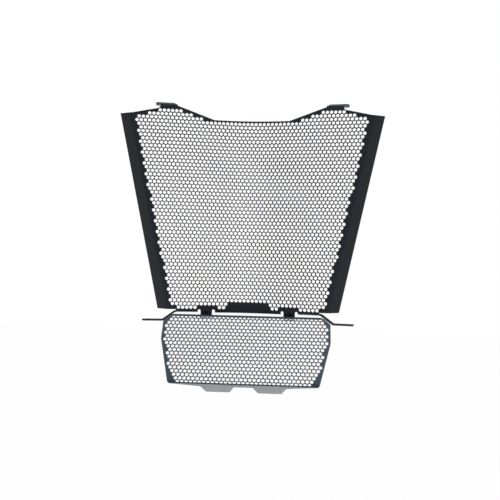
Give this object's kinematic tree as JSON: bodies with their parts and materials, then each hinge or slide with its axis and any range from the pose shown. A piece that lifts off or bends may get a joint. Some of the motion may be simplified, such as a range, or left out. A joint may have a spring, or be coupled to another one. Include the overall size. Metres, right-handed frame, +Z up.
{
  "type": "motorcycle radiator guard",
  "caption": "Folded, perforated sheet guard for a curved radiator, with a second leaning sheet below it for the oil cooler and bolt tabs at the top and sides.",
  "frame": {"origin": "midway between the bolt holes of the two top tabs, level with the tabs' upper faces", "axes": "+X to the right seen from the front, +Y to the back towards the radiator, +Z up along the upper sheet"},
  "size_m": [0.3782, 0.0847, 0.4094],
  "materials": {
    "upper_coat": "satin",
    "lower_coat": "satin",
    "screw_black": "satin",
    "zinc": "satin"
  },
  "bodies": {
    "root": {"upper_guard": "upper_coat", "lower_guard": "lower_coat", "screw_left": "screw_black", "screw_right": "screw_black", "nut_left": "zinc", "nut_right": "zinc"}
  },
  "joints": []
}
